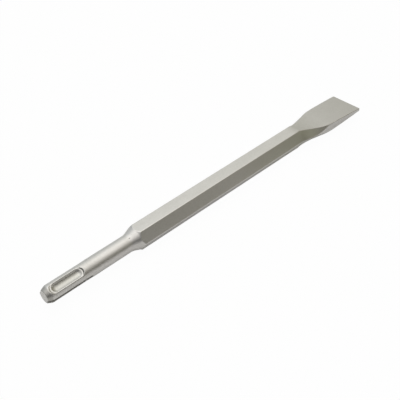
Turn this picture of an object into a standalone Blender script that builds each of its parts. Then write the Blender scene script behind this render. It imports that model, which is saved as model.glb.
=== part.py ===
"""Flat chisel for a rotary hammer, forged and milled from one bar of steel.

A round shank with two locking grooves and two drive grooves runs through a turned
neck into a hexagonal body. The far end of the hexagon is drawn out into a wedge
that is wider than the bar and ends in a straight edge.

Lengths are in metres. Along the chisel they are measured from the end of the shank,
and the finished chisel lies on one flat of its hexagon, with its middle over the origin.
"""

import math

import bmesh
import bpy
from mathutils import Matrix, Vector

MM = 0.001

# Whole chisel
TOTAL_LENGTH = 250.0 * MM

# Round shank
SHANK_DIAMETER = 10.0 * MM
SHANK_LENGTH = 53.3 * MM
END_FACE_DIAMETER = 6.4 * MM
END_RIM_DIAMETER = 8.3 * MM
END_CROWN_LENGTH = 1.15 * MM
END_CHAMFER_LENGTH = 2.9 * MM

# Turned neck between the shank and the hexagon: a hollow, a cone up to the flats,
# and from there a steeper chamfer across the corners
NECK_HOLLOW_RADIUS = 9.0 * MM
NECK_SLOPE = math.radians(20.0)
NECK_RIM_SLOPE = math.radians(36.0)

# Hexagonal body
HEX_ACROSS_FLATS = 13.5 * MM
HEX_CORNER_RADIUS = 0.5 * MM

# Locking grooves: a flat landing with a round-bottomed groove sunk into it
LOCK_START = 3.0 * MM
LOCK_LENGTH = 20.6 * MM
LOCK_LANDING_WIDTH = 5.5 * MM
LOCK_END_LANDING = 1.4 * MM
LOCK_BALL_RADIUS = 3.2 * MM
LOCK_CORE_THICKNESS = 6.0 * MM
LOCK_TURN = math.radians(28.5)

# Drive grooves: slots with radial flanks, open at the end of the shank, that run out in an arc
DRIVE_LENGTH = 31.0 * MM
DRIVE_HALF_ANGLE = math.radians(20.5)
DRIVE_CORE_THICKNESS = 6.2 * MM
DRIVE_RUNOUT_RADIUS = 12.0 * MM
DRIVE_FLOOR_FILLET = 0.6 * MM

# Forged blade
BLADE_LENGTH = 56.5 * MM
SHOULDER_LENGTH = 23.0 * MM
SHOULDER_THICKNESS = 7.25 * MM
TOP_FLARE_LENGTH = 26.2 * MM
SIDE_FLARE_LENGTH = 20.0 * MM
SHOULDER_WIDTH = 19.5 * MM
SIDE_FACE_START = 11.6 * MM
SIDE_FACE_LENGTH = 18.2 * MM
TIP_WIDTH = 22.4 * MM
TIP_THICKNESS = 2.0 * MM
TIP_CORNER_RADIUS = 0.7 * MM
TIP_EDGE_RADIUS = 0.3 * MM
BLADE_EDGE_RADIUS = 0.45 * MM
BLADE_EDGE_CHAMFER = 0.3 * MM

# Fineness of the curved surfaces
TURNED_SEGMENTS = 72
CORNER_SEGMENTS = 4
NECK_STEPS = 6
BLADE_STATIONS = 22
TIP_STEPS = 4
GROOVE_SEGMENTS = 32

# How far the cutting shapes reach past the surfaces that they cut
OVERSHOOT = 3.0 * MM
# Half height of the narrow flat that stands for the rounded side corner of the hexagon
SIDE_CORNER_FLAT = 0.04 * MM

STEEL_COLOUR = (0.42, 0.41, 0.38, 1.0)
STEEL_ROUGHNESS = 0.42


def smooth_step(share):
    """Ease from 0 to 1 with level ends."""
    share = min(max(share, 0.0), 1.0)
    return share * share * (3.0 - 2.0 * share)


def ease_out(share):
    """Rise from 0 at a slope and level out at 1."""
    share = min(max(share, 0.0), 1.0)
    return 1.0 - (1.0 - share) ** 2


def hexagon_corner_radius():
    """Distance from the axis to a sharp corner of the hexagon."""
    return HEX_ACROSS_FLATS / math.sqrt(3.0)


def clear_scene():
    for old in list(bpy.data.objects):
        bpy.data.objects.remove(old, do_unlink=True)


def new_object(name, bm):
    """Turn a bmesh into an object with its faces pointing out."""
    bmesh.ops.recalc_face_normals(bm, faces=bm.faces[:])
    mesh = bpy.data.meshes.new(name)
    bm.to_mesh(mesh)
    bm.free()
    made = bpy.data.objects.new(name, mesh)
    bpy.context.scene.collection.objects.link(made)
    return made


def skin_rings(rings):
    """Closed solid through a row of rings that have the same number of points."""
    bm = bmesh.new()
    rows = [[bm.verts.new(point) for point in ring] for ring in rings]
    count = len(rows[0])
    for before, after in zip(rows, rows[1:]):
        for index in range(count):
            following = (index + 1) % count
            bm.faces.new((before[index], before[following], after[following], after[index]))
    bm.faces.new(rows[0])
    bm.faces.new(rows[-1][::-1])
    return bm


def rounded_outline(corners, radius, segments):
    """Points of a convex outline, counter-clockwise, with every corner rounded."""
    points = []
    count = len(corners)
    for index in range(count):
        before = Vector(corners[index - 1])
        here = Vector(corners[index])
        after = Vector(corners[(index + 1) % count])
        incoming = (here - before).normalized()
        outgoing = (after - here).normalized()
        turn = incoming.angle(outgoing)
        reach = radius * math.tan(turn / 2.0)
        start = here - incoming * reach
        centre = start + Vector((-incoming.y, incoming.x)) * radius
        first = math.atan2(start.y - centre.y, start.x - centre.x)
        for step in range(segments + 1):
            angle = first + turn * step / segments
            points.append((centre.x + radius * math.cos(angle), centre.y + radius * math.sin(angle)))
    return points


def section_corners(top_half_width, half_height, side_half_width, side_half_height):
    """Eight corners of the bar, from the hexagon, whose side faces are almost nothing, to the blade."""
    quarter = [(side_half_width, side_half_height), (top_half_width, half_height)]
    upper = quarter + [(-y, z) for y, z in reversed(quarter)]
    lower = [(-y, -z) for y, z in upper]
    return upper + lower


def hexagon_section():
    """The hexagon with flats above and below and a rounded corner at each side."""
    corner = hexagon_corner_radius()
    side_height = HEX_CORNER_RADIUS * math.tan(math.radians(15.0)) + SIDE_CORNER_FLAT
    trimmed = corner - side_height / math.tan(math.radians(60.0))
    return corner / 2.0, HEX_ACROSS_FLATS / 2.0, trimmed, side_height, HEX_CORNER_RADIUS


def blade_section(run):
    """Half sizes of the blade and its edge radius, at a distance from where the blade starts."""
    hex_top, hex_height, hex_side, hex_side_height, hex_radius = hexagon_section()
    share = run / BLADE_LENGTH

    # The cheeks leave the hexagon at a crease, sweep down to the shoulder's thickness,
    # and from there curve down to the edge.
    cheek = (SHOULDER_THICKNESS + (TIP_THICKNESS - SHOULDER_THICKNESS) * share ** 2) / 2.0
    sweep = (1.0 - min(run / SHOULDER_LENGTH, 1.0)) ** 2
    half_height = cheek + (hex_height - SHOULDER_THICKNESS / 2.0) * sweep

    # The sides spread out from the hexagon, first at half height and then at the cheeks.
    spread = (SHOULDER_WIDTH + (TIP_WIDTH - SHOULDER_WIDTH) * share) / 2.0
    cheek_edge = spread - BLADE_EDGE_CHAMFER
    top = hex_top + (cheek_edge - hex_top) * smooth_step(run / TOP_FLARE_LENGTH)
    side = hex_side + (spread - hex_side) * ease_out(run / SIDE_FLARE_LENGTH)

    # The side face opens out of the corner of the hexagon until it reaches the cheeks.
    opened = smooth_step((run - SIDE_FACE_START) / SIDE_FACE_LENGTH)
    radius = hex_radius + (BLADE_EDGE_RADIUS - hex_radius) * opened
    full_height = half_height - BLADE_EDGE_CHAMFER
    side_height = hex_side_height + (full_height - hex_side_height) * opened
    return top, half_height, side, side_height, radius


def loft_point_row(run, along, narrowing, thinning):
    """One ring of the blade, drawn in by the rounding of the tip's corners and edge."""
    top, half_height, side, side_height, radius = blade_section(run)
    corners = section_corners(
        top - narrowing, half_height - thinning, side - narrowing, side_height - thinning
    )
    outline = rounded_outline(corners, radius, CORNER_SEGMENTS)
    return [(along, y, z) for y, z in outline]


def bar_and_blade():
    """The hexagonal bar, longer than the chisel at the shank's end, with the forged blade."""
    top, half_height, side, side_height, radius = hexagon_section()
    hexagon = rounded_outline(
        section_corners(top, half_height, side, side_height), radius, CORNER_SEGMENTS
    )
    rings = [[(-OVERSHOOT, y, z) for y, z in hexagon]]
    blade_start = TOTAL_LENGTH - BLADE_LENGTH
    rounded_from = BLADE_LENGTH - TIP_CORNER_RADIUS
    for station in range(BLADE_STATIONS):
        share = station / BLADE_STATIONS
        run = rounded_from * share
        rings.append(loft_point_row(run, blade_start + run, 0.0, 0.0))
    for step in range(TIP_STEPS + 1):
        angle = math.radians(90.0) * step / TIP_STEPS
        run = rounded_from + TIP_CORNER_RADIUS * math.sin(angle)
        narrowing = TIP_CORNER_RADIUS * (1.0 - math.cos(angle))
        past_edge = max(run - (BLADE_LENGTH - TIP_EDGE_RADIUS), 0.0) / TIP_EDGE_RADIUS
        thinning = TIP_EDGE_RADIUS * (1.0 - math.sqrt(max(1.0 - past_edge ** 2, 0.0)))
        rings.append(loft_point_row(run, blade_start + run, narrowing, thinning))
    return new_object("bar_and_blade", skin_rings(rings))


def turned_profile():
    """Radius along the chisel of everything that the lathe leaves: shank, neck and clearance."""
    shank = SHANK_DIAMETER / 2.0
    widest = max(TIP_WIDTH, SHOULDER_WIDTH, HEX_ACROSS_FLATS) / 2.0 + SHOULDER_THICKNESS + OVERSHOOT
    profile = [
        (0.0, END_FACE_DIAMETER / 2.0),
        (END_CROWN_LENGTH, END_RIM_DIAMETER / 2.0),
        (END_CHAMFER_LENGTH, shank),
    ]
    for step in range(NECK_STEPS + 1):
        angle = NECK_SLOPE * step / NECK_STEPS
        along = SHANK_LENGTH + NECK_HOLLOW_RADIUS * math.sin(angle)
        profile.append((along, shank + NECK_HOLLOW_RADIUS * (1.0 - math.cos(angle))))
    hollow_end, radius = profile[-1]
    flat = HEX_ACROSS_FLATS / 2.0
    cone_end = hollow_end + (flat - radius) / math.tan(NECK_SLOPE)
    profile.append((cone_end, flat))
    profile.append((cone_end + (widest - flat) / math.tan(NECK_RIM_SLOPE), widest))
    profile.append((TOTAL_LENGTH + OVERSHOOT, widest))
    return profile


def turned_envelope():
    """Solid of revolution about the chisel's axis that trims the bar to shank and neck."""
    rings = []
    for along, radius in turned_profile():
        ring = []
        for index in range(TURNED_SEGMENTS):
            angle = 2.0 * math.pi * (index + 0.5) / TURNED_SEGMENTS
            ring.append((along, radius * math.cos(angle), radius * math.sin(angle)))
        rings.append(ring)
    return new_object("turned_envelope", skin_rings(rings))


def turn_about_axis(made, angle):
    """Turn a cutter, drawn with its groove facing up, about the chisel's axis."""
    made.data.transform(Matrix.Rotation(angle, 4, "X"))


def landing_cutter(name):
    """Flat-bottomed slot with round ends, whose floor is a chord of the shank."""
    half_width = LOCK_LANDING_WIDTH / 2.0
    floor = math.sqrt((SHANK_DIAMETER / 2.0) ** 2 - half_width ** 2)
    outline = []
    for end, first in ((LOCK_START + LOCK_LENGTH - half_width, -90.0), (LOCK_START + half_width, 90.0)):
        for step in range(GROOVE_SEGMENTS // 2 + 1):
            angle = math.radians(first + 180.0 * step / (GROOVE_SEGMENTS // 2))
            outline.append((end + half_width * math.cos(angle), half_width * math.sin(angle)))
    heights = (floor, SHANK_DIAMETER / 2.0 + OVERSHOOT)
    return new_object(name, skin_rings([[(x, y, z) for x, y in outline] for z in heights]))


def ball_groove_cutter(name):
    """Round bar with ball ends, sunk into the landing until the core thickness is left."""
    height = LOCK_CORE_THICKNESS / 2.0 + LOCK_BALL_RADIUS
    half_width = LOCK_LANDING_WIDTH / 2.0
    landing = math.sqrt((SHANK_DIAMETER / 2.0) ** 2 - half_width ** 2)
    reach = math.sqrt(LOCK_BALL_RADIUS ** 2 - (height - landing) ** 2)
    first = LOCK_START + LOCK_END_LANDING + reach
    last = LOCK_START + LOCK_LENGTH - LOCK_END_LANDING - reach
    quarter = GROOVE_SEGMENTS // 4
    profile = []
    for step in range(1, quarter + 1):
        angle = math.radians(90.0) * step / quarter
        profile.append((first - LOCK_BALL_RADIUS * math.cos(angle), LOCK_BALL_RADIUS * math.sin(angle)))
    profile += [(first + last - x, radius) for x, radius in reversed(profile)]
    rings = []
    for x, radius in profile:
        ring = []
        for index in range(GROOVE_SEGMENTS):
            angle = 2.0 * math.pi * index / GROOVE_SEGMENTS
            ring.append((x, radius * math.cos(angle), height + radius * math.sin(angle)))
        rings.append(ring)
    return new_object(name, skin_rings(rings))


def drive_cutter(name):
    """Slot from the end of the shank, with radial flanks, whose floor rises out of the shank in an arc."""
    shank = SHANK_DIAMETER / 2.0
    floor = DRIVE_CORE_THICKNESS / 2.0
    rise = shank - floor
    runout = math.sqrt(2.0 * DRIVE_RUNOUT_RADIUS * rise - rise ** 2)
    level_to = DRIVE_LENGTH - runout
    steps = GROOVE_SEGMENTS // 4
    top = shank + OVERSHOOT
    last_angle = math.acos(1.0 - (rise + DRIVE_FLOOR_FILLET) / DRIVE_RUNOUT_RADIUS)
    floor_line = [(-OVERSHOOT, floor)]
    for step in range(steps + 1):
        angle = last_angle * step / steps
        along = level_to + DRIVE_RUNOUT_RADIUS * math.sin(angle)
        floor_line.append((along, floor + DRIVE_RUNOUT_RADIUS * (1.0 - math.cos(angle))))
    spread = math.tan(DRIVE_HALF_ANGLE)
    rings = []
    for along, height in floor_line:
        ring = [(along, top * spread, top)]
        for side in (1.0, -1.0):
            arc = []
            for step in range(3):
                angle = math.radians(45.0) * step
                z = height + DRIVE_FLOOR_FILLET * (1.0 - math.sin(angle))
                y = z * spread - DRIVE_FLOOR_FILLET * (1.0 - math.cos(angle))
                arc.append((along, side * y, z))
            ring += arc if side > 0.0 else arc[::-1]
        ring.append((along, -top * spread, top))
        rings.append(ring)
    return new_object(name, skin_rings(rings))


def apply_boolean(target, cutter, operation):
    """Cut the target with a hidden cutter and keep the result as its mesh."""
    cutter.hide_render = True
    cutter.display_type = "WIRE"
    modifier = target.modifiers.new(cutter.name, "BOOLEAN")
    modifier.operation = operation
    modifier.solver = "EXACT"
    modifier.object = cutter


def steel():
    """Blasted tool steel."""
    material = bpy.data.materials.new("blasted_steel")
    material.use_nodes = True
    shader = material.node_tree.nodes["Principled BSDF"]
    shader.inputs["Base Color"].default_value = STEEL_COLOUR
    shader.inputs["Metallic"].default_value = 1.0
    shader.inputs["Roughness"].default_value = STEEL_ROUGHNESS
    return material


def build_chisel():
    """The whole chisel as one solid."""
    chisel = bar_and_blade()
    chisel.name = "flat_chisel"
    chisel.data.materials.append(steel())
    apply_boolean(chisel, turned_envelope(), "INTERSECT")
    drive_turn = LOCK_TURN + math.radians(90.0)
    for number, half_turn in enumerate((0.0, math.pi), start=1):
        for maker, name, turn in (
            (landing_cutter, "lock_landing", LOCK_TURN),
            (ball_groove_cutter, "lock_groove", LOCK_TURN),
            (drive_cutter, "drive_groove", drive_turn),
        ):
            cutter = maker(f"{name}_cutter_{number}")
            turn_about_axis(cutter, turn + half_turn)
            apply_boolean(chisel, cutter, "DIFFERENCE")
    return chisel


def lay_on_flat():
    """Lay the chisel down on a flat of its hexagon with its middle over the origin."""
    for made in bpy.data.objects:
        made.location = (-TOTAL_LENGTH / 2.0, 0.0, HEX_ACROSS_FLATS / 2.0)


def main():
    clear_scene()
    chisel = build_chisel()
    lay_on_flat()
    chisel.data.shade_smooth()
    chisel.data.set_sharp_from_angle(angle=math.radians(30.0))


main()
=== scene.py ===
"""Looks of the flat chisel: its blasted steel skin, and the plain studio that it is shown in.

The skin is one closed mesh made by a Geometry Nodes tree. The tree lays rings of points along the chisel,
and works out at every point how far the forging, the lathe and the milling cutters left the steel.
Lengths are in metres. Along the chisel they are measured from the end of the shank.
"""

import math
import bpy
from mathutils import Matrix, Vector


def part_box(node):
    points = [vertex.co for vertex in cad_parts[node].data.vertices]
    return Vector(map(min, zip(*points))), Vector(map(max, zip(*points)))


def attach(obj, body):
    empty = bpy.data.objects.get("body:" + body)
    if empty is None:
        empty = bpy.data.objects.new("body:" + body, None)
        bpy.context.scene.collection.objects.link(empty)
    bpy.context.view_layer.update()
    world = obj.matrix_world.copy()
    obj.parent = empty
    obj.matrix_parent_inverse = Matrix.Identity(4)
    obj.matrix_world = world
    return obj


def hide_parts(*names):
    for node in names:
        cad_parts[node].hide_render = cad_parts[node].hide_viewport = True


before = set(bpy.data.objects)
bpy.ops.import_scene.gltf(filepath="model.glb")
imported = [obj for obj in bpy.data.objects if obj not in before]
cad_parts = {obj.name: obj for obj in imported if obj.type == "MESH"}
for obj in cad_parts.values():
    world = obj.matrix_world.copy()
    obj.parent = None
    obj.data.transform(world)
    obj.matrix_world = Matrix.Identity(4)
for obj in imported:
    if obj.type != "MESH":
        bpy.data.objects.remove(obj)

from types import SimpleNamespace

import bpy
from bpy.props import FloatProperty, FloatVectorProperty, PointerProperty
from bpy.types import Operator, Panel, PropertyGroup
from mathutils import Matrix, Vector

bl_info = {
    "name": "Flat Chisel",
    "version": (1, 0, 0),
    "blender": (4, 5, 0),
    "location": "3D View > Sidebar > Chisel",
    "description": "Makes the skin of a flat chisel for a rotary hammer, and a plain studio around it",
    "category": "Object",
}

MM = 0.001
NODE = "flat_chisel"

LOW, HIGH = (Vector(corner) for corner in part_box(NODE))
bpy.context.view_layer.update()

# Steps of a quarter of a ring, from the side of the chisel to its top
SIDE_FACE_STEPS = 4
SIDE_CORNER_STEPS = 5
FACET_STEPS = 30
TOP_CORNER_STEPS = 5
TOP_STEPS = 18
QUARTER_STEPS = SIDE_FACE_STEPS + SIDE_CORNER_STEPS + FACET_STEPS + TOP_CORNER_STEPS + TOP_STEPS

# Steps along the chisel, stretch by stretch
CROWN_STEPS = 8
RIM_STEPS = 2
CHAMFER_STEPS = 6
GROOVE_STEPS = 190
SHANK_STEPS = 10
NECK_STEPS = 44
BAR_STEPS = 24
BLADE_STEPS = 90
TIP_STEPS = 9
END_STEPS = CROWN_STEPS + RIM_STEPS + CHAMFER_STEPS
STEPS_ALONG = END_STEPS + GROOVE_STEPS + SHANK_STEPS + NECK_STEPS + BAR_STEPS + BLADE_STEPS + TIP_STEPS

# How far the fine rings reach: to each side of the rim, past the driving grooves and past the shank
RIM_REACH = 0.02 * MM
GROOVE_REACH = 2.0 * MM
NECK_REACH = 12.0 * MM

# Rings of the two ends, and how close the outermost one lies to its edge
CAP_STEPS = 3
CAP_RING = 0.97

# A right angle, and how far the side facets of the hexagon lean from upright
RIGHT_ANGLE = math.radians(90.0)
FACET_LEAN = math.radians(30.0)

# Half height of the small face left on the hexagon's side corners, beyond their rounding
SIDE_FLAT = 0.04 * MM

# Softness of the rim, of the chamfer's far edge, and of the corner below a driving groove's flank
RIM_SOFTNESS = 0.1 * MM
CHAMFER_SOFTNESS = 0.4 * MM
FLANK_SOFTNESS = 0.2 * MM

# Steepness of the walls that end mills leave, as rise over run
LANDING_WALL = 1.2
DRIVE_WALL = 8.0

# A cutter that passes beside the steel is set this far out, clear of it.
CLEAR = 10.0 * MM

# Least cosine at which a groove is worked out, so that nothing is divided by 0 a quarter turn away from it
LEAST_COSINE = 0.05

# Where the edges' wear and painted highlight, the facets' painted shade and the darker blade change,
# measured from the start of the blade
RUBBED_FADE = (-4.0 * MM, 8.0 * MM)
FACET_SHADE_RISE = (-60.0 * MM, 8.0 * MM)
FACET_SHADE_FADE = (10.0 * MM, 22.0 * MM)
DRAWN_RISE = (14.0 * MM, 26.0 * MM)

# Depths of milling over which the painted shade in the grooves comes in
SUNK_RISE = (0.3 * MM, 1.8 * MM)
DRIVE_SHADE_RISE = (0.1 * MM, 0.5 * MM)
WALL_RISE = (0.0, 0.15 * MM)

# Distance out from a landing's floor over which the painted shadow on its end wall starts
WALL_FOOT = 0.1 * MM

# Share of their wear and painted highlight that the hexagon's edges lose where the blade starts
RUBBED_LOSS = 0.75

# How fast the painted shade rises from a facet's edges: at 1 only the middle of the facet has it in full
FACET_SPREAD = 4.0

# Share of the chamfer at which its painted shade starts to fade
CHAMFER_FADE = 0.8

# Where the pit's floor ends and where its edge does, as shares of its radius
PIT_FLOOR = 0.3
PIT_EDGE = 1.3

# Shares of fine grain in the height, and of coarse grain in the mottling
FINE_SHARE = 0.8
COARSE_SHARE = 0.45

# Heights of the noise between which the mottling and the wear go from nothing to full
MOTTLE_RISE = (0.36, 0.64)
WEAR_RISE = (0.34, 0.62)

# Share of the wear that stays where the noise is lowest
LEAST_WEAR = 0.45

# Floor of the studio, and the gap between it and the chisel
FLOOR_SIZE = 6.0
FLOOR_GAP = 0.05 * MM

# Width of the camera's sensor in millimetres, and the nearest and the farthest that it sees
SENSOR_WIDTH = 36.0
CLIP_START = 0.01
CLIP_END = 20.0


def millimetres(name, description, value):
    """A length that a user can change."""
    return FloatProperty(
        name=name, description=description, default=value * MM, min=0.0, unit="LENGTH", precision=5
    )


def degrees(name, description, value):
    """An angle that a user can change."""
    return FloatProperty(name=name, description=description, default=math.radians(value), subtype="ANGLE")


def factor(name, description, value):
    """A share from 0 to 1 that a user can change."""
    return FloatProperty(
        name=name, description=description, default=value, min=0.0, max=1.0, subtype="FACTOR"
    )


def number(name, description, value, least=0.0):
    """A plain number that a user can change."""
    return FloatProperty(name=name, description=description, default=value, min=least)


def colour(name, description, value):
    """A colour that a user can change."""
    return FloatVectorProperty(
        name=name, description=description, default=value, size=4, min=0.0, max=1.0, subtype="COLOR"
    )


def light(name, description, value):
    """A light's colour and strength in one, that a user can change."""
    return FloatVectorProperty(
        name=name, description=description, default=value, size=3, min=0.0, soft_max=4.0, subtype="COLOR"
    )


class ChiselSizes(PropertyGroup):
    """Sizes of the chisel."""

    length: millimetres("Length", "From the end of the shank to the cutting edge", (HIGH.x - LOW.x) / MM)
    across_flats: millimetres(
        "Across flats", "Between two opposite flats of the hexagon", (HIGH.z - LOW.z) / MM
    )
    corner_radius: millimetres("Corner radius", "Rounding of the hexagon's corners", 0.5)
    shank_diameter: millimetres("Shank diameter", "Across the round shank", 10.0)
    shank_length: millimetres("Shank length", "From the end of the shank to the neck", 53.3)
    end_diameter: millimetres("Flat end diameter", "Across the small flat in the middle of the end", 1.0)
    end_rim: millimetres("End rim diameter", "Across the rim between the end face and its chamfer", 7.4)
    end_crown: millimetres("End crown", "How far the end face falls back from its middle to its rim", 0.4)
    end_chamfer: millimetres("End chamfer", "From the end of the shank to the end of the chamfer", 3.1)
    end_radius: millimetres("End radius", "Rounding around the small flat in the middle of the end", 0.15)
    neck_hollow: millimetres(
        "Neck hollow radius", "Radius of the hollow between the shank and the neck's cone", 9.0
    )
    neck_slope: degrees("Neck slope", "Slope of the neck's cone", 20.0)
    neck_rim_slope: degrees("Neck rim slope", "Slope of the chamfer across the hexagon's corners", 36.0)
    turned_edge: millimetres("Turned edge", "Softness of the edge where the lathe meets the hexagon", 0.12)
    lock_start: millimetres("Lock start", "From the end of the shank to a locking groove's landing", 3.55)
    lock_length: millimetres("Lock length", "Length of that landing", 19.55)
    lock_width: millimetres("Lock width", "Width of the landing around a locking groove", 5.5)
    near_margin: millimetres("Near margin", "Landing between the round groove and the shank's end", 0.95)
    far_margin: millimetres("Far margin", "Landing between the round groove and the neck", 0.6)
    lock_radius: millimetres("Lock radius", "Radius of the round groove's section and ends", 3.2)
    lock_core: millimetres("Lock core", "Steel left between the two locking grooves", 6.0)
    lock_turn: degrees("Lock turn", "From the upper flat round to a locking groove", 28.5)
    drive_length: millimetres(
        "Drive length", "From the end of the shank to where a driving groove runs out", 28.0
    )
    drive_half_angle: degrees("Drive half angle", "From the middle of a driving groove to a flank", 20.5)
    drive_core: millimetres("Drive core", "Steel left between the two driving grooves", 6.2)
    drive_runout: millimetres("Drive runout radius", "Radius of the cutter that leaves the runout", 12.0)
    groove_edge: millimetres("Groove edge", "Softness of the grooves' edges", 0.15)
    blade_length: millimetres("Blade length", "From the end of the hexagon to the cutting edge", 56.5)
    shoulder_length: millimetres(
        "Shoulder length", "From the end of the hexagon to where the hollow of the cheeks ends", 23.0
    )
    shoulder_thickness: millimetres(
        "Shoulder thickness", "Thickness of the wedge carried back to its start", 7.25
    )
    shoulder_width: millimetres("Shoulder width", "Width of the blade carried back to its start", 19.5)
    top_flare: millimetres("Top flare", "Length over which the cheeks widen", 26.2)
    side_flare: millimetres("Side flare", "Length over which the sides widen", 20.0)
    side_face_start: millimetres(
        "Side face start", "From the end of the hexagon to where a side face opens", 11.6
    )
    side_face_length: millimetres("Side face length", "Length over which a side face opens", 18.2)
    tip_width: millimetres("Tip width", "Width of the blade at the cutting edge", 22.4)
    tip_thickness: millimetres("Tip thickness", "Thickness of the cutting edge", 2.0)
    tip_corner: millimetres("Tip corner radius", "Rounding of the blade's corners, seen from above", 0.7)
    tip_edge: millimetres("Tip edge radius", "Rounding of the cutting edge", 0.6)
    blade_edge: millimetres("Blade edge radius", "Rounding along the sides of the cheeks", 0.45)
    blade_chamfer: millimetres("Blade edge chamfer", "How far that rounding reaches", 0.3)
    pit_place: millimetres("Pit place", "From the end of the shank to the small pit on the neck", 54.7)
    pit_radius: millimetres("Pit radius", "Radius of the small pit", 0.36)
    pit_depth: millimetres("Pit depth", "Depth of the small pit", 0.18)
    pit_turn: degrees("Pit turn", "From the side of the chisel up to the small pit", 111.0)


class ChiselFinish(PropertyGroup):
    """Finish of the steel."""

    steel: colour("Steel", "Colour of the blasted steel", (0.632, 0.619, 0.60, 1.0))
    dull: colour("Dull steel", "Colour of the duller patches", (0.581, 0.569, 0.547, 1.0))
    # Painted shade: a darker colour on the side facets towards the blade
    facet_shade: colour("Facet shade", "Colour of the side facets towards the blade", (0.50, 0.50, 0.43, 1.0))
    drawn: colour("Drawn steel", "Colour that darkens the drawn-out blade", (0.46, 0.45, 0.435, 1.0))
    drawn_share: factor("Drawn share", "How much of that colour the blade takes on", 0.35)
    # Painted shade on the chamfer at the shank's end
    chamfer: colour("Chamfer", "Colour of the chamfer at the shank's end", (0.43, 0.42, 0.395, 1.0))
    # Painted shade in the grooves, stronger where they are deeper
    milled: colour("Groove shade", "Colour that tints the floors of the grooves", (0.51, 0.51, 0.46, 1.0))
    groove_shade_share: factor("Groove shade share", "How much of that colour a groove's floor takes on", 0.5)
    # Painted shadow on a landing's end wall towards the neck
    end_wall_shade: colour("End wall", "Colour of a landing's end wall towards the neck", (0.17, 0.17, 0.155, 1.0))
    # Painted shade in the driving grooves
    drive_groove_shade: colour("Open groove", "Colour of the driving grooves", (0.16, 0.155, 0.145, 1.0))
    # Edge wear together with a painted highlight along the edges
    rubbed_and_highlit: colour("Rubbed edges", "Colour of edges that are rubbed bright", (0.74, 0.725, 0.70, 1.0))
    rubbed_share: factor("Rubbed share", "How much of that colour a rubbed edge takes on", 0.8)
    pit: colour("Pit", "Colour that darkens the small pit", (0.10, 0.095, 0.085, 1.0))
    pit_share: factor("Pit share", "How much of that colour the pit takes on", 0.7)
    roughness: factor("Roughness", "Roughness of the blasted steel", 0.42)
    mottling: factor("Mottling", "How much rougher the duller patches are than the brighter ones", 0.06)
    polish: factor("Polish", "How much smoother a rubbed edge is", 0.08)
    grain: millimetres("Grain", "Depth of the blasted grain", 0.014)
    grain_strength: factor("Grain strength", "How strongly the grain catches the light", 0.5)


class StudioSettings(PropertyGroup):
    """Light and camera of the studio."""

    overhead: light("Overhead light", "Light from straight above", (1.73, 1.71, 1.68))
    fade: number("Fade", "How fast the overhead light falls off towards the horizon", 3.0)
    behind: light("Light from behind", "Light from behind the chisel", (0.61, 0.65, 0.67))
    shank_side: light("Light at the shank", "Narrow light from beyond the shank", (2.0, 2.0, 2.0))
    narrowing: number("Narrowing", "How narrow the light from beyond the shank is", 14.0)
    blade_side: light("Light at the blade", "Light from beyond the blade", (0.32, 0.30, 0.21))
    world_white: factor("World white", "Share of its white that the world shows to metal and glass", 0.0)
    paper: factor("Paper", "Brightness of the paper on the floor, as light falls on it", 0.775)
    own_white: factor("Own white", "Share of its own white that the paper shows to the camera", 0.97)
    shown_white: factor(
        "Shown white", "Share of its own white that the paper shows to metal and glass", 0.2
    )
    aim: FloatVectorProperty(
        name="Aim", description="Point that the camera looks at", default=(-0.01786, -0.0019, 0.00675),
        subtype="XYZ", unit="LENGTH", precision=5,
    )
    distance: millimetres("Distance", "From the camera to the point that it looks at", 394.1)
    azimuth: degrees("Azimuth", "Camera's angle round the chisel, from its side towards the shank", 43.36)
    elevation: degrees("Elevation", "Camera's angle above the floor", 40.49)
    roll: degrees("Roll", "Turn of the camera about its own axis", -1.27)
    lens: number("Lens", "Focal length for a 36 mm wide sensor, in millimetres", 61.2, least=1.0)


class Value:
    """A number that a node tree works out at every point, written in formulas."""

    def __init__(self, tree, socket):
        self.tree = tree
        self.socket = socket

    def __add__(self, other):
        return worked_out("ADD", self, other)

    def __sub__(self, other):
        return worked_out("SUBTRACT", self, other)

    def __rsub__(self, other):
        return worked_out("SUBTRACT", other, self)

    def __mul__(self, other):
        return worked_out("MULTIPLY", self, other)

    def __truediv__(self, other):
        return worked_out("DIVIDE", self, other)

    __radd__ = __add__
    __rmul__ = __mul__


def plug(tree, socket, value):
    """Set a socket to a number, or link it to a worked-out value."""
    if isinstance(value, Value):
        tree.links.new(value.socket, socket)
    else:
        socket.default_value = value


def worked_out(operation, *values):
    """The result of a Math node."""
    tree = next(value.tree for value in values if isinstance(value, Value))
    node = tree.nodes.new("ShaderNodeMath")
    node.operation = operation
    for socket, value in zip(node.inputs, values):
        plug(tree, socket, value)
    return Value(tree, node.outputs[0])


def ramp(value, start, end, interpolation="LINEAR"):
    """Rise from 0 at start to 1 at end, and stay level outside."""
    node = value.tree.nodes.new("ShaderNodeMapRange")
    node.interpolation_type = interpolation
    plug(value.tree, node.inputs["Value"], value)
    plug(value.tree, node.inputs["From Min"], start)
    plug(value.tree, node.inputs["From Max"], end)
    return Value(value.tree, node.outputs["Result"])


def smooth_ramp(value, start, end):
    """Rise from 0 at start to 1 at end with level ends."""
    return ramp(value, start, end, "SMOOTHSTEP")


def hump(share):
    """Rise from 0 at a share of 0 to 1 half way, and fall back to 0 at a share of 1."""
    return share * (1.0 - share) * 4.0


def root(value):
    """Square root, which is 0 for a value below 0."""
    return worked_out("SQRT", worked_out("MAXIMUM", value, 0.0))


def larger(one, other):
    """The larger of two values."""
    return worked_out("MAXIMUM", one, other)


def smaller(one, other):
    """The smaller of two values."""
    return worked_out("MINIMUM", one, other)


def soft_smaller(one, other, reach):
    """The smaller value, with the change from one to the other rounded over a reach."""
    return worked_out("SMOOTH_MIN", one, other, reach)


def mixed(one, other, share):
    """One value at a share of 0, the other at a share of 1, and in between otherwise."""
    return one + (other - one) * share


def softened(one, other, reach):
    """How much of an edge a soft smaller value rounds off: 1 on the edge and 0 off it.

    On the edge the soft value lies lower by a sixth of its reach.
    """
    most = reach / 6.0
    return (smaller(one, other) - soft_smaller(one, other, reach)) / most


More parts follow.
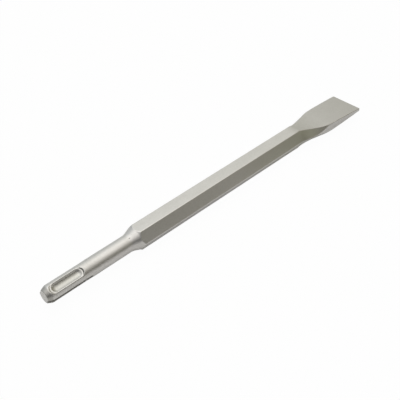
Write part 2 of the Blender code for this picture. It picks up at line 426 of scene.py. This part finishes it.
def along_chisel(size, step):
    """Distance of each ring from the shank's end, angle round the tip's corner, and start of the blade.

    The rings lie closer where the form is finer.
    """
    blade_start = size.length - size.blade_length
    stops = [
        (CROWN_STEPS, size.end_crown - RIM_REACH),
        (RIM_STEPS, size.end_crown + RIM_REACH),
        (CHAMFER_STEPS, size.end_chamfer),
        (GROOVE_STEPS, size.drive_length + GROOVE_REACH),
        (SHANK_STEPS, size.shank_length),
        (NECK_STEPS, size.shank_length + NECK_REACH),
        (BAR_STEPS, blade_start),
        (BLADE_STEPS, size.length - size.tip_corner),
    ]
    along = before = 0.0
    done = 0
    for count, after in stops:
        along = (after - before) * ramp(step, float(done), float(done + count)) + along
        before = after
        done += count
    tip_angle = ramp(step, float(done), float(STEPS_ALONG)) * RIGHT_ANGLE
    along = along + size.tip_corner * worked_out("SINE", tip_angle)
    return along, tip_angle, blade_start


def bar_section(size, along, tip_angle, blade_start):
    """Section of the hexagon and the blade, before the lathe and the cutters.

    It gives half the width of the top, half the height, half the full width, half the height of the side
    face, and the radius of the corners.
    """
    corner = size.across_flats / math.sqrt(3.0)
    hex_side_height = size.corner_radius * math.tan(FACET_LEAN / 2.0) + SIDE_FLAT
    hex_side = corner - hex_side_height / math.sqrt(3.0)
    run = larger(along - blade_start, 0.0)
    share = run / size.blade_length

    # The cheeks leave the hexagon at a crease, sweep down in a hollow, and curve down to the edge.
    cheek = (size.shoulder_thickness + (size.tip_thickness - size.shoulder_thickness) * share * share) / 2.0
    left = 1.0 - ramp(run, 0.0, size.shoulder_length)
    height = cheek + (size.across_flats - size.shoulder_thickness) / 2.0 * left * left

    # The sides spread out, first at half height and then at the cheeks.
    spread = (size.shoulder_width + (size.tip_width - size.shoulder_width) * share) / 2.0
    top = mixed(corner / 2.0, spread - size.blade_chamfer, smooth_ramp(run, 0.0, size.top_flare))
    unspread = 1.0 - ramp(run, 0.0, size.side_flare)
    side = mixed(hex_side, spread, 1.0 - unspread * unspread)

    # The side face opens out of the corner of the hexagon until it reaches the cheeks.
    opened = smooth_ramp(run - size.side_face_start, 0.0, size.side_face_length)
    side_height = mixed(hex_side_height, height - size.blade_chamfer, opened)
    radius = mixed(size.corner_radius, size.blade_edge, opened)

    # The corners and the edge of the tip are rounded.
    narrowing = size.tip_corner * (1.0 - worked_out("COSINE", tip_angle))
    past_edge = ramp(along, size.length - size.tip_edge, size.length)
    thinning = size.tip_edge * (1.0 - root(1.0 - past_edge * past_edge))
    return top - narrowing, height - thinning, side - narrowing, side_height - thinning, radius


def ring_point(section, quarter):
    """Point of the rounded outline in its first quarter, and masks of its corners and its facet."""
    top, height, side, side_height, radius = section
    stops = [0]
    for count in (SIDE_FACE_STEPS, SIDE_CORNER_STEPS, FACET_STEPS, TOP_CORNER_STEPS, TOP_STEPS):
        stops.append(stops[-1] + count)
    step = quarter * float(QUARTER_STEPS)
    up_side, round_side, up_facet, round_top, over_top = (
        ramp(step, float(before), float(after)) for before, after in zip(stops, stops[1:])
    )
    lean = worked_out("ARCTAN2", side - top, height - side_height)
    tangent = worked_out("TANGENT", lean * 0.5)
    upper_tangent = worked_out("TANGENT", (RIGHT_ANGLE - lean) * 0.5)

    # Centres of the two rounded corners
    side_centre = (side - radius, side_height - radius * tangent)
    top_centre = (top - radius * upper_tangent, height - radius)
    normal = lean * round_side + (RIGHT_ANGLE - lean) * round_top
    y = side_centre[0] + (top_centre[0] - side_centre[0]) * up_facet - top_centre[0] * over_top
    z = side_centre[1] * up_side + (top_centre[1] - side_centre[1]) * up_facet
    y = y + radius * worked_out("COSINE", normal)
    z = z + radius * worked_out("SINE", normal)
    on_corner = hump(round_side) + hump(round_top)
    on_facet = smaller(hump(up_facet) * FACET_SPREAD, 1.0)
    return y, z, on_corner, on_facet


def lathe_radius(size, along):
    """Radius that the lathe leaves: domed end, chamfer, shank and neck, and then clear of the bar."""
    shank = size.shank_diameter / 2.0
    end = size.end_diameter / 2.0
    rim = size.end_rim / 2.0
    slope = (rim - end) / size.end_crown
    slant = worked_out("ARCTANGENT", slope)
    chamfer_slope = (shank - rim) / (size.end_chamfer - size.end_crown)
    chamfer = soft_smaller(rim + chamfer_slope * (along - size.end_crown), shank, CHAMFER_SOFTNESS)
    crowned = soft_smaller(end + slope * along, chamfer, RIM_SOFTNESS)

    # Rounding between the small flat in the middle of the end and the crown around it
    centre = end - size.end_radius * worked_out("TANGENT", (RIGHT_ANGLE - slant) * 0.5)
    inward = larger(size.end_radius - along, 0.0)
    bow = centre + root(size.end_radius * size.end_radius - inward * inward)
    tangent_point = size.end_radius * (1.0 - worked_out("SINE", slant))
    on_bow = worked_out("LESS_THAN", along, tangent_point)
    turned = mixed(crowned, bow, on_bow)

    # The neck hollows out of the shank, goes on as a cone up to the flats, and turns steeper there.
    past_shank = larger(along - size.shank_length, 0.0)
    hollow_length = size.neck_hollow * worked_out("SINE", size.neck_slope)
    in_hollow = smaller(past_shank, hollow_length)
    hollow = size.neck_hollow - root(size.neck_hollow * size.neck_hollow - in_hollow * in_hollow)
    turned = turned + hollow + (past_shank - in_hollow) * worked_out("TANGENT", size.neck_slope)
    flat = size.across_flats / 2.0
    return turned + larger(turned - flat, 0.0) * (
        worked_out("TANGENT", size.neck_rim_slope) / worked_out("TANGENT", size.neck_slope) - 1.0
    )


def facing(y, z, radius, angle):
    """Cosine and sine of the angle between a point and a pair of opposite directions."""
    straight = (y * worked_out("COSINE", angle) + z * worked_out("SINE", angle)) / radius
    across = (z * worked_out("COSINE", angle) - y * worked_out("SINE", angle)) / radius
    straight = larger(worked_out("ABSOLUTE", straight), LEAST_COSINE)
    return straight, worked_out("ABSOLUTE", across)


def lock_radius_left(size, along, straight, across):
    """Distances from the axis to a locking groove's landing and to the round groove sunk into it.

    The third value is a mask of the painted shadow on the landing's end wall towards the neck.
    """
    half_width = size.lock_width / 2.0
    shank = size.shank_diameter / 2.0
    floor = root(shank * shank - half_width * half_width)
    first = size.lock_start + half_width
    last = size.lock_start + size.lock_length - half_width
    beyond = larger(larger(first - along, along - last), 0.0)
    sideways = floor * across / straight
    outside = larger(root(beyond * beyond + sideways * sideways) - half_width, 0.0)
    landing = floor / straight + outside * LANDING_WALL
    far_wall = ramp(outside, 0.0, WALL_FOOT) * ramp(along, last, last + 0.5 * half_width)

    height = size.lock_core / 2.0 + size.lock_radius
    drop = height - floor
    reach = root(size.lock_radius * size.lock_radius - drop * drop)
    first_ball = size.lock_start + size.near_margin + reach
    last_ball = size.lock_start + size.lock_length - size.far_margin - reach
    past_ball = larger(larger(first_ball - along, along - last_ball), 0.0)
    offset = height * across
    inside = size.lock_radius * size.lock_radius - past_ball * past_ball - offset * offset
    missed = worked_out("LESS_THAN", inside, 0.0)
    ball = height * straight - root(inside) + missed * CLEAR
    return landing, ball, far_wall


def drive_radius_left(size, along, straight, across):
    """Distance from the axis to the floor and the radial flanks of an open driving groove."""
    floor = size.drive_core / 2.0
    rise = size.shank_diameter / 2.0 - floor
    level_to = size.drive_length - root(2.0 * size.drive_runout * rise - rise * rise)
    past = larger(along - level_to, 0.0)
    lifted = floor + size.drive_runout - root(size.drive_runout * size.drive_runout - past * past)
    lifted = lifted + worked_out("GREATER_THAN", past, size.drive_runout) * CLEAR
    sideways = floor * across / straight
    half_width = floor * worked_out("TANGENT", size.drive_half_angle)
    outside = worked_out("SMOOTH_MAX", sideways - half_width, 0.0, FLANK_SOFTNESS)
    return lifted / straight + outside * DRIVE_WALL


def skin_tree(sizes, material):
    """Geometry Nodes tree of the chisel's skin, and its inputs: the sizes, by name."""
    tree = bpy.data.node_groups.new("Chisel skin", "GeometryNodeTree")
    inputs = {}
    for key in ChiselSizes.__annotations__:
        described = sizes.bl_rna.properties[key]
        socket = tree.interface.new_socket(
            name=described.name,
            description=described.description,
            in_out="INPUT",
            socket_type="NodeSocketFloat",
        )
        inputs[key] = socket.identifier
    tree.interface.new_socket(name="Skin", in_out="OUTPUT", socket_type="NodeSocketGeometry")
    entry = tree.nodes.new("NodeGroupInput")
    size = SimpleNamespace()
    for key in inputs:
        name = sizes.bl_rna.properties[key].name
        setattr(size, key, Value(tree, entry.outputs[name]))

    # A closed tube of rings with a fan at each end, 1 in radius and 1 long
    tube = tree.nodes.new("GeometryNodeMeshCylinder")
    tube.fill_type = "TRIANGLE_FAN"
    tube.inputs["Vertices"].default_value = 4 * QUARTER_STEPS
    tube.inputs["Side Segments"].default_value = STEPS_ALONG
    tube.inputs["Fill Segments"].default_value = CAP_STEPS
    tube.inputs["Radius"].default_value = 1.0
    tube.inputs["Depth"].default_value = 1.0
    here = tree.nodes.new("ShaderNodeSeparateXYZ")
    tree.links.new(tree.nodes.new("GeometryNodeInputPosition").outputs[0], here.inputs[0])
    tube_y, tube_z, tube_along = (Value(tree, socket) for socket in here.outputs)
    tube_radius = root(tube_y * tube_y + tube_z * tube_z)
    outward = worked_out("ABSOLUTE", tube_y)
    upward = worked_out("ABSOLUTE", tube_z)
    quarter = worked_out("ARCTAN2", upward, outward) / RIGHT_ANGLE
    step = worked_out("ROUND", (tube_along + 0.5) * float(STEPS_ALONG))

    along, tip_angle, blade_start = along_chisel(size, step)
    run = along - blade_start
    section = bar_section(size, along, tip_angle, blade_start)
    y, z, on_corner, on_facet = ring_point(section, quarter)
    y = y * worked_out("SIGN", tube_y)
    z = z * worked_out("SIGN", tube_z)
    bar_radius = root(y * y + z * z)

    # The lathe takes the bar down to the shank and the neck.
    lathe = lathe_radius(size, along)
    left = soft_smaller(bar_radius, lathe, size.turned_edge)
    # The hexagon's corners and the lathe's edge get wear and a painted highlight, less where the blade
    # starts.
    corner_wear_and_highlight = 1.0 - ramp(run, *RUBBED_FADE) * RUBBED_LOSS
    rubbed_and_highlit = on_corner * worked_out("LESS_THAN", bar_radius, lathe) * corner_wear_and_highlight
    rubbed_and_highlit = rubbed_and_highlit + softened(bar_radius, lathe, size.turned_edge)

    # The cutters mill the grooves.
    lock_angle = size.lock_turn + RIGHT_ANGLE
    straight, sideways = facing(y, z, bar_radius, lock_angle)
    landing, ball, far_wall = lock_radius_left(size, along, straight, sideways)
    lock = soft_smaller(landing, ball, size.groove_edge)
    straight, sideways = facing(y, z, bar_radius, size.lock_turn)
    drive = drive_radius_left(size, along, straight, sideways)
    milled = smaller(lock, drive)
    # The grooves' edges get wear and a painted highlight too.
    rubbed_and_highlit = rubbed_and_highlit + softened(left, milled, size.groove_edge)
    rubbed_and_highlit = rubbed_and_highlit + softened(landing, ball, size.groove_edge) * worked_out("LESS_THAN", landing, left)
    before_milling = left
    left = soft_smaller(left, milled, size.groove_edge)
    depth = before_milling - left
    # Painted shade in the grooves grows with their depth
    sunk = ramp(depth, *SUNK_RISE)
    # Painted shadow on the landing's end wall
    shaded = far_wall * ramp(before_milling - landing, *WALL_RISE)
    # Painted shade in the open driving grooves
    drive_shade = ramp(depth, *DRIVE_SHADE_RISE) * worked_out("LESS_THAN", drive, lock)

    # A small pit in the neck
    pit_y = worked_out("COSINE", size.pit_turn) * left
    pit_z = worked_out("SINE", size.pit_turn) * left
    off_x = along - size.pit_place
    off_y = y / bar_radius * left - pit_y
    off_z = z / bar_radius * left - pit_z
    apart = root(off_x * off_x + off_y * off_y + off_z * off_z)
    pit = 1.0 - smooth_ramp(apart, size.pit_radius * PIT_FLOOR, size.pit_radius * PIT_EDGE)
    left = left - pit * size.pit_depth

    # The outer ring of each end lies close to its edge, so that the edge stays crisp.
    outer = 1.0 - 1.0 / CAP_STEPS
    inner_spread = tube_radius * (CAP_RING / outer)
    outer_spread = mixed(CAP_RING, 1.0, ramp(tube_radius, outer, 1.0))
    shrink = left / bar_radius * smaller(inner_spread, outer_spread)
    place = tree.nodes.new("ShaderNodeCombineXYZ")
    plug(tree, place.inputs["X"], along + LOW.x)
    plug(tree, place.inputs["Y"], y * shrink)
    plug(tree, place.inputs["Z"], z * shrink + size.across_flats / 2.0 + LOW.z)

    # The chamfer and the side facets towards the blade get painted shade, and the blade is darker.
    # Painted shade on the chamfer
    chamfer_shade = ramp(along, size.end_crown, size.end_crown + RIM_REACH)
    chamfer_shade = chamfer_shade * (1.0 - ramp(along, size.end_chamfer * CHAMFER_FADE, size.end_chamfer))
    # Painted shade on the side facets towards the blade
    facet_shade = on_facet * ramp(run, *FACET_SHADE_RISE) * (1.0 - ramp(run, *FACET_SHADE_FADE))
    drawn = ramp(run, *DRAWN_RISE)

    # Masks for the material are kept on the points before they move.
    mesh = tube.outputs["Mesh"]
    masks = {
        "rubbed_and_highlit": rubbed_and_highlit, "sunk": sunk, "shaded": shaded, "open": drive_shade,
        "pit": pit, "chamfer_shade": chamfer_shade, "facet_shade": facet_shade, "drawn": drawn,
    }
    for name, mask in masks.items():
        keep = tree.nodes.new("GeometryNodeStoreNamedAttribute")
        keep.data_type = "FLOAT"
        keep.domain = "POINT"
        keep.inputs["Name"].default_value = name
        plug(tree, keep.inputs["Value"], mask)
        tree.links.new(mesh, keep.inputs["Geometry"])
        mesh = keep.outputs["Geometry"]

    moved = tree.nodes.new("GeometryNodeSetPosition")
    tree.links.new(mesh, moved.inputs["Geometry"])
    tree.links.new(place.outputs[0], moved.inputs["Position"])
    smooth = tree.nodes.new("GeometryNodeSetShadeSmooth")
    tree.links.new(moved.outputs[0], smooth.inputs["Geometry"])
    real = tree.nodes.new("GeometryNodeRealizeInstances")
    tree.links.new(smooth.outputs[0], real.inputs["Geometry"])
    steel = tree.nodes.new("GeometryNodeSetMaterial")
    steel.inputs["Material"].default_value = material
    tree.links.new(real.outputs[0], steel.inputs["Geometry"])
    tree.links.new(steel.outputs[0], tree.nodes.new("NodeGroupOutput").inputs["Skin"])
    return tree, inputs


def made_by_tree(name, tree, values):
    """Plain mesh object from a tree, with its place in its mesh."""
    carrier = bpy.data.objects.new(name + "_carrier", bpy.data.meshes.new(name + "_carrier"))
    bpy.context.scene.collection.objects.link(carrier)
    modifier = carrier.modifiers.new("Skin", "NODES")
    modifier.node_group = tree
    for identifier, value in values.items():
        modifier[identifier] = value
    carrier.update_tag()
    evaluated = carrier.evaluated_get(bpy.context.evaluated_depsgraph_get())
    mesh = bpy.data.meshes.new_from_object(evaluated)
    mesh.name = name
    carrier.modifiers.remove(modifier)
    bpy.data.objects.remove(carrier)
    piece = bpy.data.objects.new(name, mesh)
    bpy.context.scene.collection.objects.link(piece)
    return piece


def group_tree(name, inputs, outputs):
    """Shader node group with number sockets, and its two end nodes."""
    tree = bpy.data.node_groups.new(name, "ShaderNodeTree")
    for socket_name, default in inputs:
        socket = tree.interface.new_socket(name=socket_name, in_out="INPUT", socket_type="NodeSocketFloat")
        socket.default_value = default
    for socket_name in outputs:
        tree.interface.new_socket(name=socket_name, in_out="OUTPUT", socket_type="NodeSocketFloat")
    return tree, tree.nodes.new("NodeGroupInput"), tree.nodes.new("NodeGroupOutput")


def noise(tree, scale, detail, roughness, stretch=(1.0, 1.0, 1.0)):
    """Noise on Object coordinates, with its scale given per metre."""
    place = tree.nodes.new("ShaderNodeTexCoord")
    mapping = tree.nodes.new("ShaderNodeMapping")
    mapping.inputs["Scale"].default_value = stretch
    tree.links.new(place.outputs["Object"], mapping.inputs["Vector"])
    texture = tree.nodes.new("ShaderNodeTexNoise")
    texture.inputs["Scale"].default_value = scale
    texture.inputs["Detail"].default_value = detail
    texture.inputs["Roughness"].default_value = roughness
    tree.links.new(mapping.outputs["Vector"], texture.inputs["Vector"])
    return Value(tree, texture.outputs["Fac"])


def grain_group():
    """Blasted grain: a fine height, and the soft mottling that goes with it."""
    tree, _, exit_node = group_tree("Blasted grain", [], ["Height", "Mottle"])
    fine = noise(tree, scale=3000.0, detail=3.0, roughness=0.6)
    coarse = noise(tree, scale=900.0, detail=2.0, roughness=0.5)
    blotch = noise(tree, scale=140.0, detail=3.0, roughness=0.55, stretch=(0.5, 1.0, 1.0))
    height = fine * FINE_SHARE + coarse * (1.0 - FINE_SHARE)
    mottle = ramp(coarse * COARSE_SHARE + blotch * (1.0 - COARSE_SHARE), *MOTTLE_RISE)
    plug(tree, exit_node.inputs["Height"], height)
    plug(tree, exit_node.inputs["Mottle"], mottle)
    return tree


def attribute(tree, name):
    """Mask that the skin's tree kept on the mesh."""
    node = tree.nodes.new("ShaderNodeAttribute")
    node.attribute_name = name
    return Value(tree, node.outputs["Fac"])


def wear_and_highlight_group():
    """Edge wear and painted highlight: bright along the edges, broken up by noise."""
    tree, entry, exit_node = group_tree("Edge wear and highlight", [("Amount", 1.0)], ["Mask"])
    patchy = ramp(noise(tree, scale=260.0, detail=3.0, roughness=0.6), *WEAR_RISE)
    mask = smaller(attribute(tree, "rubbed_and_highlit"), 1.0) * mixed(LEAST_WEAR, 1.0, patchy)
    plug(tree, exit_node.inputs["Mask"], mask * Value(tree, entry.outputs["Amount"]))
    return tree


def colour_mix(tree, first, second, share):
    """Colour between two colours or colour sockets."""
    node = tree.nodes.new("ShaderNodeMix")
    node.data_type = "RGBA"
    plug(tree, node.inputs["Factor"], share)
    for socket, value in ((node.inputs["A"], first), (node.inputs["B"], second)):
        if isinstance(value, bpy.types.NodeSocket):
            tree.links.new(value, socket)
        else:
            socket.default_value = value
    return node.outputs["Result"]


def steel_material(finish):
    """Satin steel: blasted grain, soft mottling, edge wear with a painted highlight, painted shade on the
    facets, chamfer and grooves, and a darker blade and pit.
    """
    material = bpy.data.materials.new("Blasted steel")
    material.use_nodes = True
    tree = material.node_tree
    shader = tree.nodes["Principled BSDF"]
    grain = tree.nodes.new("ShaderNodeGroup")
    grain.node_tree = grain_group()
    wear = tree.nodes.new("ShaderNodeGroup")
    wear.node_tree = wear_and_highlight_group()
    mottle = Value(tree, grain.outputs["Mottle"])
    wear_and_highlight = Value(tree, wear.outputs["Mask"])

    base = colour_mix(tree, tuple(finish.dull), tuple(finish.steel), mottle)
    # Layers of painted shade, a darker blade, edge wear with a painted highlight, and a darker pit
    for tone, share in (
        (finish.facet_shade, attribute(tree, "facet_shade")),
        (finish.drawn, attribute(tree, "drawn") * finish.drawn_share),
        (finish.chamfer, attribute(tree, "chamfer_shade")),
        (finish.milled, attribute(tree, "sunk") * finish.groove_shade_share),
        (finish.end_wall_shade, attribute(tree, "shaded")),
        (finish.drive_groove_shade, attribute(tree, "open")),
        (finish.rubbed_and_highlit, wear_and_highlight * finish.rubbed_share),
        (finish.pit, attribute(tree, "pit") * finish.pit_share),
    ):
        base = colour_mix(tree, base, tuple(tone), share)
    tree.links.new(base, shader.inputs["Base Color"])
    shader.inputs["Metallic"].default_value = 1.0
    rough = finish.roughness + (0.5 - mottle) * finish.mottling - wear_and_highlight * finish.polish
    plug(tree, shader.inputs["Roughness"], rough)

    bump = tree.nodes.new("ShaderNodeBump")
    bump.inputs["Strength"].default_value = finish.grain_strength
    bump.inputs["Distance"].default_value = finish.grain
    tree.links.new(grain.outputs["Height"], bump.inputs["Height"])
    tree.links.new(bump.outputs["Normal"], shader.inputs["Normal"])
    return material


class ChiselMakeSkin(Operator):
    """Make the chisel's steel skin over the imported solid"""

    bl_idname = "flat_chisel.make_skin"
    bl_label = "Make Chisel"

    def execute(self, context):
        sizes = context.scene.chisel_sizes
        tree, inputs = skin_tree(sizes, steel_material(context.scene.chisel_finish))
        values = {identifier: getattr(sizes, key) for key, identifier in inputs.items()}
        skin = made_by_tree("chisel_skin", tree, values)
        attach(skin, "root")
        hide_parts(NODE)
        return {"FINISHED"}


def seen_share(tree, by_camera, by_metal_and_glass):
    """Share of its own white that a ground shows: one to the camera, and one to metal and glass."""
    path = tree.nodes.new("ShaderNodeLightPath")
    seen, mirrored, through = (
        Value(tree, path.outputs[name]) for name in ("Is Camera Ray", "Is Glossy Ray", "Is Transmission Ray")
    )
    return larger(seen * by_camera, larger(mirrored, through) * by_metal_and_glass)


def shader_mix(tree, share, first, second):
    """Shader between two shader sockets."""
    node = tree.nodes.new("ShaderNodeMixShader")
    plug(tree, node.inputs["Fac"], share)
    tree.links.new(first, node.inputs[1])
    tree.links.new(second, node.inputs[2])
    return node.outputs[0]


def floor_material(studio):
    """White paper: nearly all its own white to the camera, so that only a faint shadow stays.

    Metal and glass are shown a part of that white. Seen from below the paper is clear, so that the
    underside of the chisel shows.
    """
    material = bpy.data.materials.new("White paper")
    material.use_nodes = True
    tree = material.node_tree
    tree.nodes.clear()
    paper = tree.nodes.new("ShaderNodeBsdfDiffuse")
    paper.inputs["Color"].default_value = (studio.paper, studio.paper, studio.paper, 1.0)
    white = tree.nodes.new("ShaderNodeEmission")
    white.inputs["Color"].default_value = (1.0, 1.0, 1.0, 1.0)
    white.inputs["Strength"].default_value = 1.0
    shown = seen_share(tree, studio.own_white, studio.shown_white)
    above = shader_mix(tree, shown, paper.outputs[0], white.outputs[0])
    below = Value(tree, tree.nodes.new("ShaderNodeNewGeometry").outputs["Backfacing"])
    clear = tree.nodes.new("ShaderNodeBsdfTransparent")
    both = shader_mix(tree, below, above, clear.outputs[0])
    out = tree.nodes.new("ShaderNodeOutputMaterial")
    tree.links.new(both, out.inputs["Surface"])
    return material


def make_floor(studio):
    """Square of paper, a hair below the flat that the chisel lies on."""
    half = FLOOR_SIZE / 2.0
    corners = [(-half, -half), (half, -half), (half, half), (-half, half)]
    mesh = bpy.data.meshes.new("floor")
    mesh.from_pydata([(x, y, LOW.z - FLOOR_GAP) for x, y in corners], [], [(0, 1, 2, 3)])
    floor = bpy.data.objects.new("floor", mesh)
    mesh.materials.append(floor_material(studio))
    bpy.context.scene.collection.objects.link(floor)


def light_studio(studio):
    """Soft light from four sides, and white behind everything that the camera sees.

    The overhead light fades towards the horizon. The steel is shown the light and dark sides of this
    light, which set its facets apart.
    """
    world = bpy.data.worlds.new("Studio")
    bpy.context.scene.world = world
    world.use_nodes = True
    tree = world.node_tree
    tree.nodes.clear()
    place = tree.nodes.new("ShaderNodeTexCoord")
    split = tree.nodes.new("ShaderNodeSeparateXYZ")
    tree.links.new(place.outputs["Generated"], split.inputs[0])
    towards_blade, towards_back, upwards = (Value(tree, socket) for socket in split.outputs)
    parts = [
        (studio.overhead, worked_out("POWER", larger(upwards, 0.0), studio.fade)),
        (studio.behind, larger(towards_back, 0.0)),
        (studio.shank_side, worked_out("POWER", larger(towards_blade * -1.0, 0.0), studio.narrowing)),
        (studio.blade_side, larger(towards_blade, 0.0)),
    ]
    seen = seen_share(tree, 1.0, studio.world_white)
    joined = tree.nodes.new("ShaderNodeCombineColor")
    for channel, socket in enumerate(joined.inputs):
        given = sum(share * strength[channel] for strength, share in parts)
        plug(tree, socket, mixed(given, 1.0, seen))
    background = tree.nodes.new("ShaderNodeBackground")
    tree.links.new(joined.outputs[0], background.inputs["Color"])
    out = tree.nodes.new("ShaderNodeOutputWorld")
    tree.links.new(background.outputs[0], out.inputs["Surface"])


def place_camera(studio):
    """Camera beside the shank's end, looking down over the chisel."""
    camera = bpy.data.cameras.new("camera")
    camera.sensor_width = SENSOR_WIDTH
    camera.lens = studio.lens
    camera.clip_start = CLIP_START
    camera.clip_end = CLIP_END
    holder = bpy.data.objects.new("camera", camera)
    bpy.context.scene.collection.objects.link(holder)
    towards = Vector((
        -math.sin(studio.azimuth) * math.cos(studio.elevation),
        -math.cos(studio.azimuth) * math.cos(studio.elevation),
        math.sin(studio.elevation),
    ))
    turned = towards.to_track_quat("Z", "Y").to_matrix().to_4x4()
    holder.matrix_world = (
        Matrix.Translation(Vector(studio.aim) + towards * studio.distance)
        @ turned
        @ Matrix.Rotation(studio.roll, 4, "Z")
    )
    bpy.context.scene.camera = holder


class ChiselMakeStudio(Operator):
    """Make the floor, the light and the camera"""

    bl_idname = "flat_chisel.make_studio"
    bl_label = "Make Studio"

    def execute(self, context):
        studio = context.scene.chisel_studio
        make_floor(studio)
        light_studio(studio)
        place_camera(studio)
        context.scene.view_settings.view_transform = "Standard"
        return {"FINISHED"}


class ChiselPanel(Panel):
    """Lists what the add-on makes"""

    bl_idname = "VIEW3D_PT_flat_chisel"
    bl_label = "Flat Chisel"
    bl_space_type = "VIEW_3D"
    bl_region_type = "UI"
    bl_category = "Chisel"

    def draw(self, context):
        layout = self.layout
        for settings, operator in (
            (context.scene.chisel_sizes, None),
            (context.scene.chisel_finish, ChiselMakeSkin),
            (context.scene.chisel_studio, ChiselMakeStudio),
        ):
            column = layout.column(align=True)
            for key in type(settings).__annotations__:
                column.prop(settings, key)
            if operator:
                layout.operator(operator.bl_idname)


CLASSES = (ChiselSizes, ChiselFinish, StudioSettings, ChiselMakeSkin, ChiselMakeStudio, ChiselPanel)
SETTINGS = {"chisel_sizes": ChiselSizes, "chisel_finish": ChiselFinish, "chisel_studio": StudioSettings}


def register():
    for item in CLASSES:
        bpy.utils.register_class(item)
    for name, group in SETTINGS.items():
        setattr(bpy.types.Scene, name, PointerProperty(type=group))


def unregister():
    for name in SETTINGS:
        delattr(bpy.types.Scene, name)
    for item in reversed(CLASSES):
        bpy.utils.unregister_class(item)


def main():
    register()
    bpy.ops.flat_chisel.make_skin()
    bpy.ops.flat_chisel.make_studio()


if __name__ == "__main__":
    main()
